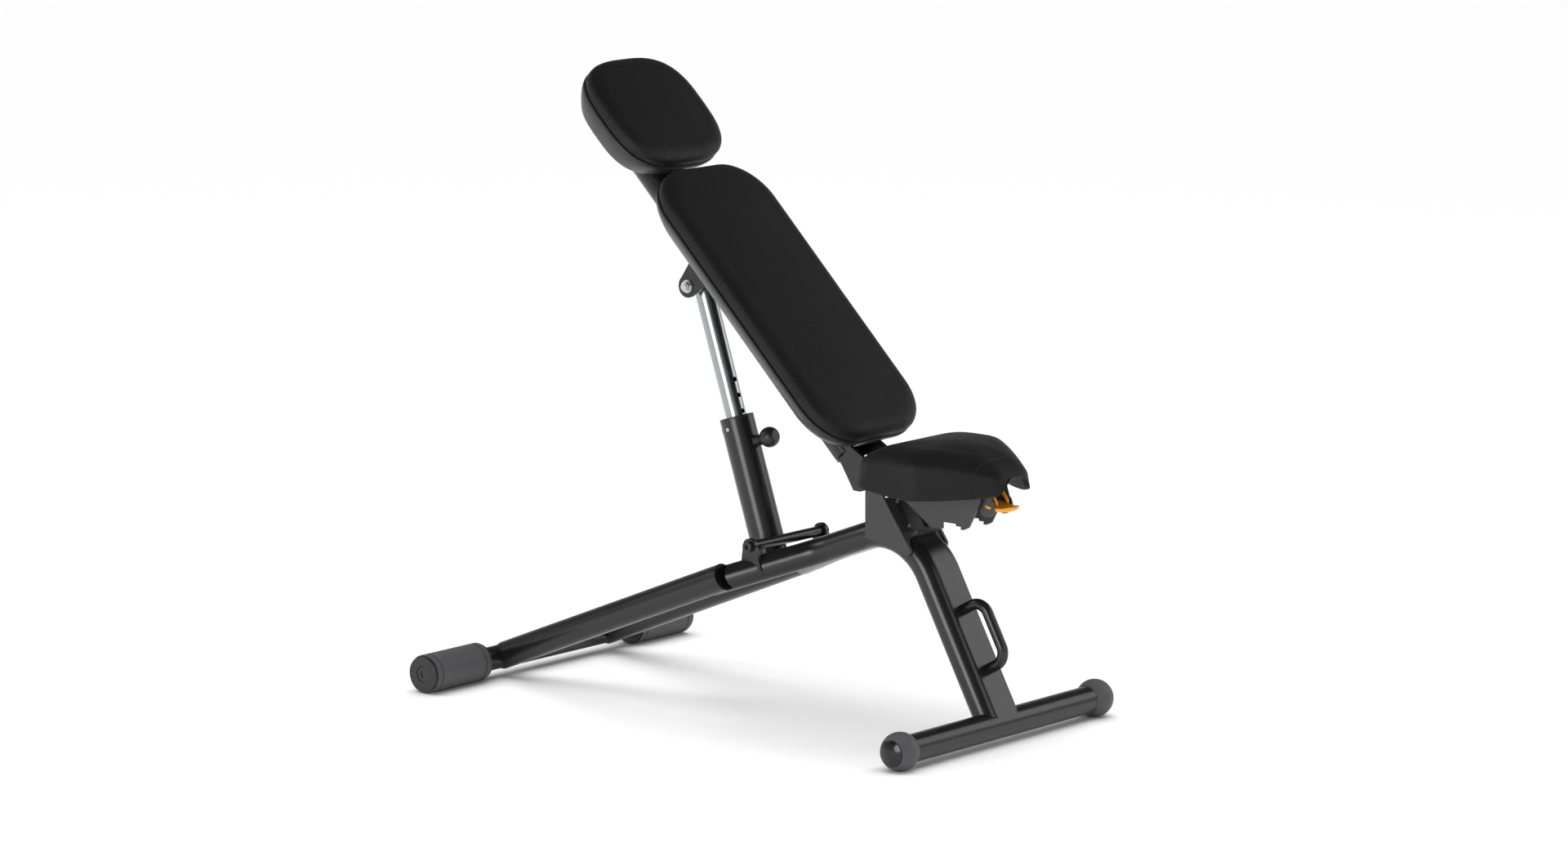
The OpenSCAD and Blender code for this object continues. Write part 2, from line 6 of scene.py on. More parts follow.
import bmesh
import bpy
import numpy as np
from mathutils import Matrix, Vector


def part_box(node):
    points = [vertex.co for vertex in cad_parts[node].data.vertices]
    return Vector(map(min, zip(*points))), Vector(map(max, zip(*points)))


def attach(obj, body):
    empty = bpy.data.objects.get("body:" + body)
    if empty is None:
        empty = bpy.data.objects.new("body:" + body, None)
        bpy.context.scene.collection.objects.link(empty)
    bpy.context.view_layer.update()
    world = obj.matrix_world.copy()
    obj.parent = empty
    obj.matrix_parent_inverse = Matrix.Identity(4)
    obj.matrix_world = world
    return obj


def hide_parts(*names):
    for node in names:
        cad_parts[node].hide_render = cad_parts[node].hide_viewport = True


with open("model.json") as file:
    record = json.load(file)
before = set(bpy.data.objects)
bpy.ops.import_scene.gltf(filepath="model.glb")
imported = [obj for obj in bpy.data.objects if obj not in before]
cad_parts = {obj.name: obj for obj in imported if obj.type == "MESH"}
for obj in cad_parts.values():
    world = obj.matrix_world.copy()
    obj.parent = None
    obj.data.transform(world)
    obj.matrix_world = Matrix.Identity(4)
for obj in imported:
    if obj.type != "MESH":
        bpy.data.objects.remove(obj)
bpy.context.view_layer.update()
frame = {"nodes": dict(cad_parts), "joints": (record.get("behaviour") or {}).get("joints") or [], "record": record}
JOINTS = {joint["name"]: joint for joint in frame["joints"]}
HINGE = np.array(JOINTS["backrest_hinge"]["pos_m"])
LEAN = math.radians(45)  # the backrest's slope at rest
ALONG = np.array([math.cos(LEAN), 0, -math.sin(LEAN)])  # down the backrest, towards the seat
ACROSS = np.array([0.0, 1.0, 0.0])
OUT = np.array([math.sin(LEAN), 0, math.cos(LEAN)])  # out of the pads

CAMERA_PLACE = (6.786, -8.078, 2.349)
CAMERA_TURN = (80.157, 0, 39.901)  # degrees
LENS_MM = 134.4
SENSOR_MM = 36
FLOOR_REACH = 60
LAMP_AIM = (0, 0, 0.5)  # the middle of the bench

MERGE = 2e-5  # points closer than this become one
TINY_EDGE = 1e-6
OUTLINE_SAMPLES = 2881  # directions tried round an outline before its points are spaced evenly

HEAD_POWER = 3.0  # power of the head pad's superellipse
SHELL_SIDE_IN = {"back": 0.03, "head": 0.018}  # how far a shell's long sides slope in
SHELL_END_IN = 0.023

bl_info = {
    "name": "Adjustable Weight Bench",
    "version": (1, 0, 0),
    "blender": (4, 5, 0),
    "location": "3D View > Sidebar > Bench",
    "description": "Builds the upholstery, shells, lever, finishes and studio of an adjustable weight bench",
    "category": "Object",
}


class BenchSizes(bpy.types.PropertyGroup):
    """Sizes that shape the upholstery."""

    edge: bpy.props.FloatProperty(
        name="Pad edge", description="Radius of a pad's upper edge", default=0.034, unit="LENGTH"
    )
    crown: bpy.props.FloatProperty(
        name="Crown", description="How far a pad's middle stands above its edge", default=0.004, unit="LENGTH"
    )
    tuck: bpy.props.FloatProperty(
        name="Tuck", description="How far the cover turns in at its seam", default=0.006, unit="LENGTH"
    )
    pucker: bpy.props.FloatProperty(
        name="Pucker", description="Depth of the small pleats round the corners", default=0.0007, unit="LENGTH"
    )
    grain: bpy.props.FloatProperty(
        name="Grain", description="Width of one cell of the vinyl's grain", default=0.0036, unit="LENGTH"
    )
    arch: bpy.props.FloatProperty(
        name="Arch", description="Height of the arch under the seat's nose", default=0.028, unit="LENGTH"
    )
    corner: bpy.props.FloatProperty(
        name="Corner", description="Radius of the backrest pad's corners", default=0.09, unit="LENGTH"
    )
    lip: bpy.props.FloatProperty(
        name="Lip", description="Radius of the bead where a shell meets its pad", default=0.0016, unit="LENGTH"
    )


def colour(name, description, default):
    """A colour property with the given default."""
    return bpy.props.FloatVectorProperty(name=name, description=description, default=default, subtype="COLOR", size=3)


class BenchColours(bpy.types.PropertyGroup):
    """Colours of the finishes."""

    paint: colour("Frame paint", "Powder coat on the tubes", (0.009, 0.009, 0.0094))
    plate: colour("Plate paint", "Powder coat on the flat plates", (0.034, 0.034, 0.036))
    vinyl: colour("Vinyl", "Upholstery", (0.0042, 0.0042, 0.0044))
    shell: colour("Shell", "Moulded shells under the pads", (0.016, 0.016, 0.017))
    roller: colour("Rubber", "Rollers and feet", (0.074, 0.074, 0.077))
    lever: colour("Lever", "Release lever", (0.86, 0.33, 0.008))


# ---- shader maths ----


class Value:
    """A shader socket on which Python's operators build Math nodes."""

    def __init__(self, finish, socket):
        self.finish, self.socket = finish, socket

    def maths(self, operation, *values, clamp=False):
        """One Math node on these values."""
        return self.finish.node(
            "ShaderNodeMath", {"operation": operation, "use_clamp": clamp}, dict(enumerate(values))
        )

    def __add__(self, other):
        return self.maths("ADD", self, other)

    def __sub__(self, other):
        return self.maths("SUBTRACT", self, other)

    def __rsub__(self, other):
        return self.maths("SUBTRACT", other, self)

    def __mul__(self, other):
        return self.maths("MULTIPLY", self, other)

    def __truediv__(self, other):
        return self.maths("DIVIDE", self, other)

    def __abs__(self):
        return self.maths("ABSOLUTE", self)

    __radd__ = __add__
    __rmul__ = __mul__

    def clamped(self):
        """This value held between 0 and 1."""
        return self.maths("ADD", self, 0.0, clamp=True)


class Finish:
    """A material under construction, with its Principled shader."""

    def __init__(self, name, **constants):
        self.material = bpy.data.materials.new(name)
        self.material.use_nodes = True
        self.tree = self.material.node_tree
        self.shader = self.tree.nodes["Principled BSDF"]
        for socket, value in constants.items():
            self.shader.inputs[socket.replace("_", " ")].default_value = value
        self.place = self.node("ShaderNodeTexCoord", output="Object")

    def node(self, kind, settings=None, values=None, output=0):
        """A node of this kind: its settings come first, then its sockets' values or links."""
        made = self.tree.nodes.new(kind)
        for key, value in (settings or {}).items():
            setattr(made, key, value)
        for key, value in (values or {}).items():
            if isinstance(value, Value):
                self.tree.links.new(value.socket, made.inputs[key])
            else:
                made.inputs[key].default_value = value
        return Value(self, made.outputs[output])

    def noise(self, size, detail=2.0, place=None):
        """Cloudy noise from 0 to 1 whose blotches are about size metres across."""
        values = {"Vector": place or self.place, "Scale": 1 / size, "Detail": detail}
        return self.node("ShaderNodeTexNoise", {}, values, output="Fac")

    def cells(self, size, place=None):
        """Distance to the nearest point of a scatter about size metres apart, in units of size."""
        values = {"Vector": place or self.place, "Scale": 1 / size}
        return self.node("ShaderNodeTexVoronoi", {"feature": "F1"}, values, output="Distance")

    def axis(self, letter):
        """One coordinate of the place on the object, in metres."""
        return self.node("ShaderNodeSeparateXYZ", {}, {"Vector": self.place}, output=letter)

    def mix(self, mask, first, second):
        """The first colour where the mask is 0, and the second where it is 1."""
        values = {"Factor": mask, 6: (*first, 1.0), 7: second if isinstance(second, Value) else (*second, 1.0)}
        return self.node("ShaderNodeMix", {"data_type": "RGBA"}, values, output=2)

    def feed(self, socket, value):
        """Links a varying value to one of the shader's sockets."""
        self.tree.links.new(value.socket, self.shader.inputs[socket])

    def bump(self, height, depth, strength=1.0):
        """Raises the surface by height, from 0 to 1, times depth in metres."""
        values = {"Height": height, "Distance": depth, "Strength": strength}
        self.feed("Normal", self.node("ShaderNodeBump", {}, values, output="Normal"))


def tinted(base, factor):
    """A colour made lighter or darker."""
    return tuple(min(1.0, channel * factor) for channel in base)


def powder_coat(name, base, rough):
    """Baked powder paint: fine orange peel, faint cloudiness and a few rubbed spots."""
    finish = Finish(name, Specular_IOR_Level=0.5)
    peel = finish.noise(0.0016, 3.0)
    cloud = finish.noise(0.09, 3.0)
    scuffs = ((finish.noise(0.028, 5.0) - 0.63) * 9.0).clamped()
    finish.feed("Base Color", finish.mix(cloud * 0.7 + scuffs * 0.25, tinted(base, 0.85), tinted(base, 1.3)))
    finish.feed("Roughness", rough + (peel - 0.5) * 0.05 + scuffs * 0.07 + (cloud - 0.5) * 0.08)
    finish.bump(peel, 0.00003, 0.3)
    return finish.material


def vinyl(name, base, grain, seams=()):
    """Upholstery vinyl: pebbled cells, warped so that no two match, with pores, sheen changes, sewn lines and painted
    shade in the cells' hollows.
    """
    stitch_width = 0.0016
    finish = Finish(name, Specular_IOR_Level=0.26, Sheen_Weight=0.02)
    drift = finish.node("ShaderNodeTexNoise", {}, {"Vector": finish.place, "Scale": 90.0}, output="Color")
    warped = finish.node(
        "ShaderNodeVectorMath",
        {"operation": "MULTIPLY_ADD"},
        {0: drift, 1: (grain * 1.4,) * 3, 2: finish.place},
        output="Vector",
    )
    pebble = finish.cells(grain, warped)
    fine = finish.cells(grain * 0.45, warped)
    cloud = finish.noise(0.07, 3.0)
    height = 1.0 - pebble * 0.75 - fine * 0.3
    for line in seams:
        distance = abs(finish.axis("X") - line)
        stitch = (1.0 - distance / stitch_width).clamped()
        height = height - stitch * 2.2
    worn = (finish.noise(0.16, 2.0) - 0.42).clamped() * 1.6
    # Base colour: painted shade, darker where the pebble cells sink (the same cells that lower the bump), plus a
    # random tone drift from the cloud
    finish.feed("Base Color", finish.mix(pebble * 0.6 + cloud * 0.5, tinted(base, 1.35), tinted(base, 0.7)))
    finish.feed("Roughness", 0.5 + pebble * 0.14 - worn * 0.12 + (cloud - 0.5) * 0.08)
    finish.bump(height, 0.0007, 0.9)
    return finish.material


def moulded(name, base, rough, texture=0.0009):
    """Injection moulded plastic: spark-eroded texture and slightly uneven gloss."""
    finish = Finish(name, Specular_IOR_Level=0.45)
    speckle = finish.noise(texture, 2.0)
    cloud = finish.noise(0.05, 2.0)
    finish.feed("Base Color", finish.mix(cloud, tinted(base, 0.88), tinted(base, 1.16)))
    finish.feed("Roughness", rough + (speckle - 0.5) * 0.12 + (cloud - 0.5) * 0.06)
    finish.bump(speckle, 0.00005, 0.45)
    return finish.material


def rubber(name, base, rough):
    """Dense rubber: soft speckle, dust in patches and shallow scuffs."""
    finish = Finish(name, Specular_IOR_Level=0.35)
    speckle = finish.noise(0.0011, 3.0)
    dust = ((finish.noise(0.03, 4.0) - 0.5) * 2.4).clamped()
    finish.feed("Base Color", finish.mix(dust * 0.5 + speckle * 0.4, tinted(base, 0.85), tinted(base, 1.3)))
    finish.feed("Roughness", rough + dust * 0.12 + (speckle - 0.5) * 0.1)
    finish.bump(speckle, 0.00009, 0.5)
    return finish.material


def bright_metal(name, base, rough, brushed):
    """Plated steel: a mirror or a satin face, with fine drawn lines and faint fingermarks."""
    finish = Finish(name, Metallic=1.0)
    lines = finish.node("ShaderNodeMapping", {}, {"Vector": finish.place, "Scale": (1.0, 1.0, 0.04)}, "Vector")
    drawn = finish.noise(0.0006, 2.0, lines)
    marks = ((finish.noise(0.045, 4.0) - 0.52) * 3.0).clamped()
    finish.feed("Base Color", finish.mix(marks * 0.5 + drawn * 0.2, base, tinted(base, 0.86)))
    finish.feed("Roughness", rough + marks * 0.08 + drawn * brushed)
    finish.bump(drawn, 0.00002, 0.3)
    return finish.material


# ---- surfaces ----


def mesh_piece(name, points, faces, finish, smooth=True):
    """A piece from an array of points and a list of faces, merged at its poles, with its faces outwards."""
    mesh = bpy.data.meshes.new(name)
    mesh.from_pydata(points.reshape(-1, 3).tolist(), [], faces.tolist())
    work = bmesh.new()
    work.from_mesh(mesh)
    bmesh.ops.remove_doubles(work, verts=work.verts, dist=MERGE)
    bmesh.ops.dissolve_degenerate(work, edges=work.edges, dist=TINY_EDGE)
    bmesh.ops.recalc_face_normals(work, faces=work.faces)
    work.to_mesh(mesh)
    work.free()
    mesh.polygons.foreach_set("use_smooth", [smooth] * len(mesh.polygons))
    mesh.materials.append(finish)
    piece = bpy.data.objects.new(name, mesh)
    bpy.context.scene.collection.objects.link(piece)
    return piece


def grid_faces(rows, columns, closed_rows=False):
    """Quads of a grid whose columns wrap round, and whose rows wrap too if closed_rows."""
    last = rows if closed_rows else rows - 1
    row, column = np.meshgrid(np.arange(last), np.arange(columns), indexing="ij")
    after, beside = (row + 1) % rows, (column + 1) % columns
    corners = [row * columns + column, row * columns + beside, after * columns + beside, after * columns + column]
    return np.stack(corners, axis=-1).reshape(-1, 4)


def evenly_spaced(points, count):
    """The closed line through these points, walked in count equal steps."""
    travelled = np.concatenate([[0], np.cumsum(np.linalg.norm(np.diff(points, axis=0), axis=1))])
    wanted = np.arange(count) * travelled[-1] / count
    return np.stack([np.interp(wanted, travelled, points[:, k]) for k in (0, 1)], axis=1)


def superellipse(angle, power):
    """Cosine and sine of the angle raised to a power below 1, which squares the circle's corners."""
    c, s = np.cos(angle), np.sin(angle)
    return np.sign(c) * np.abs(c) ** power, np.sign(s) * np.abs(s) ** power


def hull_outline(circles, count=240):
    """Outline round circles (x, y, radius): in each direction n it takes the circle with the greatest
    centre . n + radius, and the point centre + radius n. The points are then spaced evenly along it."""
    circles = np.array(circles)
    angle = np.linspace(0, 2 * np.pi, OUTLINE_SAMPLES)
    n = np.stack([np.cos(angle), np.sin(angle)], axis=1)
    chosen = circles[np.argmax(n @ circles[:, :2].T + circles[:, 2], axis=1)]
    return evenly_spaced(chosen[:, :2] + chosen[:, 2:] * n, count)


def inset_rings(outline, inset):
    """Rings inside an outline: each axis shrinks about the middle by its own factor (half size - inset) / half size,
    so a ring stays one inset away from the edge and the innermost one closes to a line."""
    low, high = outline.min(axis=0), outline.max(axis=0)
    middle, half = (low + high) / 2, (high - low) / 2
    factor = (half - inset[:, None]) / half
    return middle + (outline - middle)[None, :, :] * factor[:, None, :]


def placed(local):
    """Points of the backrest's own axes (along, across, out) moved to their place on the bench."""
    return HINGE + local[..., :1] * ALONG + local[..., 1:2] * ACROSS + local[..., 2:] * OUT


def backrest_extent(node):
    """Lowest and highest corner of a node measured along the backrest's own axes."""
    mesh = frame["nodes"][node].data
    points = np.empty(len(mesh.vertices) * 3, np.float32)
    mesh.vertices.foreach_get("co", points)
    points = points.reshape(-1, 3) - HINGE
    local = np.stack([points @ ALONG, points @ ACROSS, points @ OUT], axis=1)
    return local.min(axis=0), local.max(axis=0)


def pad_outline(low, high, radius):
    """Outline of a pad: a rectangle with its corners rounded to radius."""
    middle = (low + high) / 2
    reach = (high - low) / 2 - radius
    signs = [(i, j) for i in (-1, 1) for j in (-1, 1)]
    return hull_outline([(middle[0] + i * reach[0], middle[1] + j * reach[1], radius) for i, j in signs])


def squared_outline(low, high, power, count=240):
    """Outline of the head pad: a superellipse |x / a|^power + |y / b|^power = 1 between these corners,
    with its points spaced evenly along it."""
    angle = np.linspace(0, 2 * np.pi, OUTLINE_SAMPLES)
    across, up = superellipse(angle, 2 / power)
    points = (low + high) / 2 + np.stack([across, up], axis=1) * (high - low) / 2
    return evenly_spaced(points, count)


def corner_weight(outline):
    """How strongly the outline turns at each point, from 0 on a straight run to 1 at the sharpest corner."""
    step = np.roll(outline, -1, axis=0) - outline
    turn = step / np.linalg.norm(step, axis=1)[:, None]
    change = np.linalg.norm(turn - np.roll(turn, 1, axis=0), axis=1)
    smooth = np.convolve(np.tile(change, 3), np.ones(9) / 9, mode="same")[len(change) : 2 * len(change)]
    return smooth / smooth.max()


def cushion_surface(outline, bottom, top, sizes):
    """A pad's closed skin. Going up its section, the underside is flat, a quarter ellipse of width tuck turns out
    to the widest line, a quarter ellipse of width edge turns in to the face, and the face rises by a parabola
    of height crown. Pleats of depth pucker ripple the lower side where the outline turns."""
    widest_share, roundness, pleats, pleat_share = 0.34, 0.86, 40, 0.45
    half = float(np.ptp(outline[:, 1])) / 2
    widest = bottom + widest_share * (top - bottom)
    face = top - sizes.crown
    under = np.linspace(half, sizes.tuck, 7)[:-1]
    low_turn = np.linspace(-np.pi / 2, 0, 9)[:-1]
    high_turn = np.linspace(0, np.pi / 2, 22)
    flat = np.linspace(sizes.edge, half, 22)[1:]
    inset = np.concatenate(
        [under, sizes.tuck * (1 - np.cos(low_turn)), sizes.edge * (1 - np.cos(high_turn) ** roundness), flat]
    )
    height = np.concatenate(
        [
            np.full(len(under), bottom),
            widest + (widest - bottom) * np.sin(low_turn),
            widest + (face - widest) * np.sin(high_turn) ** roundness,
            face + sizes.crown * (1 - ((half - flat) / (half - sizes.edge)) ** 2),
        ]
    )
    rings = inset_rings(outline, inset)
    low_side = np.exp(-(((height - bottom) / (pleat_share * (top - bottom))) ** 2)) * (inset < sizes.edge)
    ripple = np.cos(np.arange(len(outline)) * 2 * np.pi * pleats / len(outline)) * corner_weight(outline)
    middle = outline.mean(axis=0)
    away = (outline - middle) / np.linalg.norm(outline - middle, axis=1)[:, None]
    rings = rings - (sizes.pucker * low_side[:, None] * (0.5 + 0.5 * ripple))[..., None] * away
    return np.concatenate([rings, np.broadcast_to(height[:, None, None], rings.shape[:2] + (1,))], axis=2)


def shell_surface(outline, rim, base, side_in, end_in):
    """A pad's moulded shell. Its side is a soft S from the rim in to the base: the inset grows as a smooth step of
    the height, by side_in across and end_in along. It is closed flat above and below."""
    ledge = 0.004
    step = np.linspace(0, 1, 18)
    eased = step**1.6 * (1.0 + 0.45 * (1 - step))
    closed = float(np.ptp(outline[:, 1])) / 2 - 1e-4
    across = np.concatenate([[closed, ledge], side_in * eased, [closed]])
    along = np.concatenate([[closed, ledge], end_in * eased, [closed]])
    height = np.concatenate([[rim, rim], rim - (rim - base) * (1 - (1 - step) ** 1.15), [base]])
    low, high = outline.min(axis=0), outline.max(axis=0)
    middle, size = (low + high) / 2, (high - low) / 2
    factor = np.stack([(size[0] - along) / size[0], (size[1] - across) / size[1]], axis=1)
    rings = middle + (outline - middle)[None] * factor[:, None, :]
    return np.concatenate([rings, np.broadcast_to(height[:, None, None], rings.shape[:2] + (1,))], axis=2)


def bead_surface(outline, height, radius, sides=10):
    """A thin bead: a circle of this radius carried round the outline, in the plane across its path."""
    path = np.concatenate([outline, np.full((len(outline), 1), height)], axis=1)
    tangent = np.roll(path, -1, axis=0) - np.roll(path, 1, axis=0)
    tangent /= np.linalg.norm(tangent, axis=1)[:, None]
    up = np.array([0.0, 0.0, 1.0])
    side = np.cross(tangent, up)
    angle = np.linspace(0, 2 * np.pi, sides, endpoint=False)[:, None, None]
    return path[None] + radius * (np.cos(angle) * side[None] + np.sin(angle) * up)


# ---- operators ----


def settings():
    """The sizes and the colours that the user may change."""
    return bpy.context.scene.bench_sizes, bpy.context.scene.bench_colours


def vinyl_finish(name, seams=()):
    """The upholstery's finish, with sewn lines at these places along the bench."""
    sizes, colours = settings()
    return vinyl(name, colours.vinyl, sizes.grain, seams)


def studio_sky(scene):
    """A room that is bright near the floor and dim overhead, so that tubes shine along their sides."""
    world = bpy.data.worlds.new("studio")
    world.use_nodes = True
    tree = world.node_tree
    place = tree.nodes.new("ShaderNodeTexCoord")
    parts = tree.nodes.new("ShaderNodeSeparateXYZ")
    ramp = tree.nodes.new("ShaderNodeValToRGB")
    for index, (height, tone) in enumerate(((0.05, (0.75, 0.75, 0.75, 1)), (0.5, (0.06, 0.06, 0.062, 1)))):
        stop = ramp.color_ramp.elements[index]
        stop.position, stop.color = height, tone
    tree.links.new(place.outputs["Generated"], parts.inputs[0])
    tree.links.new(parts.outputs["Z"], ramp.inputs["Fac"])
    tree.links.new(ramp.outputs["Color"], tree.nodes["Background"].inputs["Color"])
    scene.world = world


class BENCH_OT_stage(bpy.types.Operator):
    """Make the pale floor, the soft studio light and the camera"""

    bl_idname = "bench.stage"
    bl_label = "Studio"

    def execute(self, context):
        studio_sky(context.scene)
        floor = Finish("floor_paper", Specular_IOR_Level=0.0, Roughness=0.9)
        floor.shader.inputs["Base Color"].default_value = (0.95, 0.95, 0.95, 1)
        points = np.array([[i, j, 0] for i, j in ((-1, -1), (1, -1), (1, 1), (-1, 1))], float) * FLOOR_REACH
        mesh_piece("floor", points, np.array([[0, 1, 2, 3]]), floor.material, False)
        overhead = bpy.data.lights.new("overhead", "SUN")
        overhead.energy, overhead.angle = 2.9, math.radians(75)
        lamp = bpy.data.objects.new("overhead", overhead)
        lamp.rotation_euler = (math.radians(-8), math.radians(-6), 0)
        lamp.visible_glossy = False
        context.scene.collection.objects.link(lamp)
        softboxes = (
            ("key", (-2.9, -2.2, 2.6), 2.0, 20),
            ("side", (0.6, -4.4, 1.2), 2.2, 70),
            ("front", (4.2, 0.4, 1.9), 2.0, 20),
            ("rim", (2.2, 3.2, 2.1), 2.4, 24),
        )
        for name, place, size, power in softboxes:
            light = bpy.data.lights.new(name, "AREA")
            light.shape, light.size, light.energy = "DISK", size, power
            lamp = bpy.data.objects.new(name, light)
            lamp.location = place
            aim = Vector(LAMP_AIM) - Vector(place)
            lamp.rotation_euler = aim.to_track_quat("-Z", "Y").to_euler()
            context.scene.collection.objects.link(lamp)
        lens = bpy.data.cameras.new("camera")
        lens.lens, lens.sensor_width = LENS_MM, SENSOR_MM
        lens.clip_end = 100
        camera = bpy.data.objects.new("camera", lens)
        camera.location = CAMERA_PLACE
        camera.rotation_euler = [math.radians(angle) for angle in CAMERA_TURN]
        context.scene.collection.objects.link(camera)
        context.scene.camera = camera
        context.scene.view_settings.view_transform = "Standard"
        return {"FINISHED"}


class BENCH_OT_finishes(bpy.types.Operator):
    """Give every piece of the frame its paint, plating, plastic or rubber"""

    bl_idname = "bench.finishes"
    bl_label = "Finishes"

    def execute(self, context):
        _, colours = settings()
        finishes = {
            "frame_paint": powder_coat("frame_powder_coat", colours.paint, 0.25),
            "plate_paint": powder_coat("plate_powder_coat", colours.plate, 0.45),
            "dark_fastener": powder_coat("blackened_steel", tinted(colours.paint, 1.4), 0.3),
            "zinc_steel": bright_metal("zinc_plate", (0.56, 0.57, 0.58), 0.28, 0.14),
            "chromed_tube": bright_metal("chrome_plate", (0.36, 0.365, 0.37), 0.2, 0.05),
            "vinyl": vinyl_finish("pad_vinyl"),
            "moulded_shell": moulded("shell_moulding", colours.shell, 0.42),
            "black_plastic": moulded("black_moulding", tinted(colours.shell, 0.8), 0.36),
            "grey_rubber": rubber("grey_rubber", colours.roller, 0.5),
            "gloss_cap": moulded("polished_cap", tinted(colours.shell, 0.4), 0.16),
            "amber_plastic": moulded("amber_moulding", colours.lever, 0.33),
        }
        slots = {part["node"]: part["material_slot"] for part in frame["record"]["subparts"]}
        for node, piece in frame["nodes"].items():
            if slots[node] not in finishes:
                raise RuntimeError(f"no finish for {slots[node]}")
            for index in range(len(piece.material_slots)):
                piece.material_slots[index].material = finishes[slots[node]]
        return {"FINISHED"}


class BENCH_OT_pads(bpy.types.Operator):
    """Upholster the backrest and the head pad on their moulded shells"""

    bl_idname = "bench.pads"
    bl_label = "Pads and shells"

    def execute(self, context):
        sizes, colours = settings()
        cover = vinyl_finish("cushion_vinyl")
        plastic = moulded("pad_shell_moulding", colours.shell, 0.4)
        for name, side_in in SHELL_SIDE_IN.items():
            low, high = backrest_extent(f"{name}_cushion")
            if name == "head":
                outline = squared_outline(low[:2], high[:2], HEAD_POWER)
            else:
                outline = pad_outline(low[:2], high[:2], sizes.corner)
            skin = placed(cushion_surface(outline, low[2], high[2], sizes))
            pad = mesh_piece(f"{name}_pad", skin, grid_faces(*skin.shape[:2]), cover)
            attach(pad, "backrest")
            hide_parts(f"{name}_cushion")
            base, rim = backrest_extent(f"{name}_shell")[0][2], low[2]
            body = placed(shell_surface(outline, rim, base, side_in, SHELL_END_IN))
            shell = mesh_piece(f"{name}_pad_shell", body, grid_faces(*body.shape[:2]), plastic)
            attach(shell, "backrest")
            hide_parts(f"{name}_shell")
            edge = inset_rings(outline, np.array([sizes.lip]))[0]
            ring = placed(bead_surface(edge, low[2], sizes.lip))
            bead = mesh_piece(f"{name}_pad_lip", ring, grid_faces(*ring.shape[:2], closed_rows=True), plastic)
            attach(bead, "backrest")
        return {"FINISHED"}


class BENCH_OT_seat(bpy.types.Operator):
    """Upholster the tapered seat with its hollow skirt"""

    bl_idname = "bench.seat"
    bl_label = "Seat"

    def execute(self, context):
        sizes, _ = settings()
        low, high = (np.array(corner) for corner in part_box("seat_cushion"))
        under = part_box("seat_pan")[1].z
        skin = seat_surface(low, high, under, sizes)
        seams = (low[0] + 0.036, high[0] - 0.042)
        seat = mesh_piece("seat_pad", skin, grid_faces(*skin.shape[:2]), vinyl_finish("seat_vinyl", seams))
        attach(seat, "seat")
        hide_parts("seat_cushion")
        return {"FINISHED"}


def seat_surface(low, high, under, sizes):
    """The seat's closed skin: a tapered outline with rings. The hollow runs flat under the pan and down the skirt's
    inner wall to the hem, whose height is a parabola along the seat plus an arch under the nose; outside, the side
    leans in and a quarter ellipse turns on to a face that falls towards the nose by a parabola."""
    rear, front, wide = low[0], high[0], high[1]
    circles = [(rear + 0.04, s * (wide - 0.04), 0.04) for s in (-1, 1)]
    circles += [(rear + 0.12, s * (wide - 0.05), 0.05) for s in (-1, 1)]
    circles += [(front - 0.026, s * 0.028, 0.026) for s in (-1, 1)]
    outline = hull_outline(circles, 300)
    half = float(np.ptp(outline[:, 1])) / 2
    thick, hem_rise, lean, shoulder_end, swell_rise = 0.013, 0.003, 0.004, 0.062, 0.005
    hollow = np.linspace(half, thick, 8)
    wall = np.linspace(0, 1, 9)[1:]
    hem_turn = np.linspace(0, np.pi, 9)[1:-1]
    side = np.linspace(0, 1, 16)
    turn = np.linspace(0, np.pi / 2, 16)[1:]
    face = np.linspace(shoulder_end, half, 22)[1:]
    inset = np.concatenate(
        [
            hollow,
            np.full(len(wall), thick),
            thick / 2 * (1 + np.cos(hem_turn)),
            lean * side,
            lean + (shoulder_end - lean) * (1 - np.cos(turn)),
            face,
        ]
    )
    rings = inset_rings(outline, inset)
    x, y = rings[..., 0], rings[..., 1]
    lowest = (rear + front) / 2 + 0.01
    crest = rear + 0.10
    hem = low[2] + (x - lowest) ** 2 / 1.4
    nose = np.clip((x - (front - 0.055)) / 0.03, 0, 1)
    hem = hem + sizes.arch * nose * np.exp(-((y / 0.034) ** 4))
    fall = np.clip((x - crest) / (front - crest), 0, 1)
    rise = np.clip((crest - x) / (crest - rear), 0, 1)
    top = high[2] + 0.004 - 0.036 * fall**2.6 - 0.014 * rise**2
    shoulder = low[2] + 0.58 * (top - low[2])
    level = np.zeros_like(x)
    marks = np.cumsum([len(hollow), len(wall), len(hem_turn), len(side), len(turn), len(face)])
    parts = [slice(a, b) for a, b in zip([0, *marks[:-1]], marks)]
    level[parts[0]] = under + 0.0005
    level[parts[1]] = under + (hem[parts[1]] + hem_rise - under) * wall[:, None]
    level[parts[2]] = hem[parts[2]] + hem_rise * (1 - np.sin(hem_turn))[:, None]
    level[parts[3]] = hem[parts[3]] + hem_rise + (shoulder[parts[3]] - hem[parts[3]] - hem_rise) * side[:, None]
    plateau = top - swell_rise
    level[parts[4]] = shoulder[parts[4]] + (plateau[parts[4]] - shoulder[parts[4]]) * np.sin(turn)[:, None]
    swell = 1 - ((half - face) / (half - shoulder_end)) ** 2
    level[parts[5]] = plateau[parts[5]] + swell_rise * swell[:, None]
    return np.stack([x, y, level], axis=2)


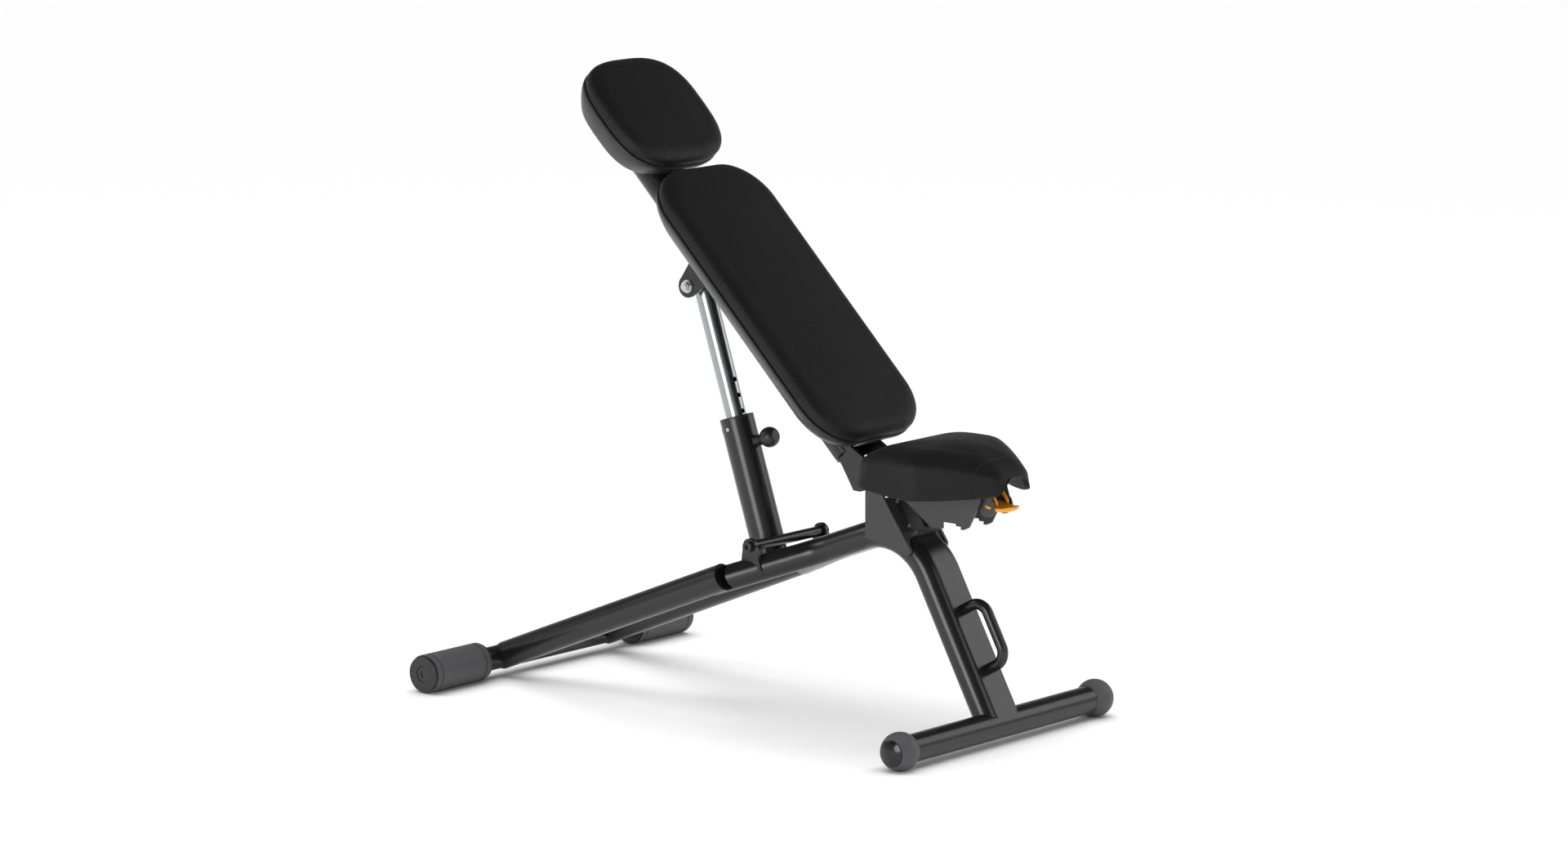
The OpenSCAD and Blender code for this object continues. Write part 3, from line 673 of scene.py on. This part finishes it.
class BENCH_OT_lever(bpy.types.Operator):
    """Mould the seat's release lever"""

    bl_idname = "bench.lever"
    bl_label = "Release lever"

    def execute(self, context):
        _, colours = settings()
        low, high = (np.array(corner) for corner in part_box("seat_lever"))
        pivot = np.array(JOINTS["lever_pull"]["pos_m"])
        amber = moulded("lever_moulding", colours.lever, 0.3)
        paddle = paddle_surface(pivot, low, high)
        piece = mesh_piece("lever_paddle", paddle, grid_faces(*paddle.shape[:2]), amber)
        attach(piece, "lever")
        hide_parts("seat_lever")
        for side in (-1, 1):
            arm = arm_surface(pivot, low, side)
            piece = mesh_piece(f"lever_arm_{'left' if side > 0 else 'right'}", arm, grid_faces(*arm.shape[:2]), amber)
            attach(piece, "lever")
        return {"FINISHED"}


def paddle_surface(pivot, low, high):
    """The lever's blade: a squared ellipse carried forwards, whose width follows a root that swells and a tip that
    closes, whose line sags by a sine and then lifts at the tip."""
    along = np.sin(np.linspace(-np.pi / 2, np.pi / 2, 34)) * 0.5 + 0.5
    angle = np.linspace(0, 2 * np.pi, 40, endpoint=False)
    across, up = superellipse(angle, 0.7)
    closing = np.sqrt(np.clip(1 - (2 * along - 1) ** 8, 0, 1))
    width = high[1] * (1 - 0.36 * along) * closing
    start = pivot[0] + 0.01
    x = start + (high[0] - start) * along
    centre = low[2] + 0.010 - 0.006 * along - 0.003 * np.sin(np.pi * along) + 0.004 * along**4
    thick = (0.0056 - 0.0014 * along) * closing
    points = np.empty((len(along), len(angle), 3))
    points[..., 0] = x[:, None]
    points[..., 1] = width[:, None] * across
    dish = 0.0025 * across**2
    points[..., 2] = centre[:, None] + thick[:, None] * up + dish
    return points


def arm_surface(pivot, low, side):
    """One of the lever's arms: a squared ellipse carried from round the pivot down to the blade on a line
    that bends by a parabola."""
    along = np.sin(np.linspace(-np.pi / 2, np.pi / 2, 20)) * 0.5 + 0.5
    angle = np.linspace(0, 2 * np.pi, 24, endpoint=False)
    across, up = superellipse(angle, 0.6)
    closing = np.sqrt(np.clip(1 - (2 * along - 1) ** 10, 0, 1))
    points = np.empty((len(along), len(angle), 3))
    points[..., 0] = (pivot[0] + 0.005 + 0.03 * along)[:, None]
    points[..., 1] = side * 0.016 + 0.0025 * closing[:, None] * across
    drop = pivot[2] + (low[2] + 0.013 - pivot[2]) * along**1.2
    points[..., 2] = drop[:, None] + (0.0075 - 0.003 * along)[:, None] * closing[:, None] * up
    return points


class BENCH_PT_panel(bpy.types.Panel):
    """Lists the steps that build the bench's looks"""

    bl_label = "Adjustable weight bench"
    bl_idname = "BENCH_PT_panel"
    bl_space_type = "VIEW_3D"
    bl_region_type = "UI"
    bl_category = "Bench"

    def draw(self, context):
        for group in (context.scene.bench_sizes, context.scene.bench_colours):
            for name in group.__annotations__:
                self.layout.prop(group, name)
        for step in STEPS:
            self.layout.operator(step.bl_idname)


STEPS = (BENCH_OT_stage, BENCH_OT_finishes, BENCH_OT_pads, BENCH_OT_seat, BENCH_OT_lever)
CLASSES = (BenchSizes, BenchColours, *STEPS, BENCH_PT_panel)


def register():
    """Registers the classes and hangs the settings on the scene."""
    for cls in CLASSES:
        bpy.utils.register_class(cls)
    bpy.types.Scene.bench_sizes = bpy.props.PointerProperty(type=BenchSizes)
    bpy.types.Scene.bench_colours = bpy.props.PointerProperty(type=BenchColours)


def unregister():
    """Takes the settings and the classes away."""
    del bpy.types.Scene.bench_colours
    del bpy.types.Scene.bench_sizes
    for cls in reversed(CLASSES):
        bpy.utils.unregister_class(cls)


def main():
    """Builds everything in order."""
    register()
    for step in STEPS:
        group, name = step.bl_idname.split(".")
        getattr(getattr(bpy.ops, group), name)()


if __name__ == "__main__":
    main()
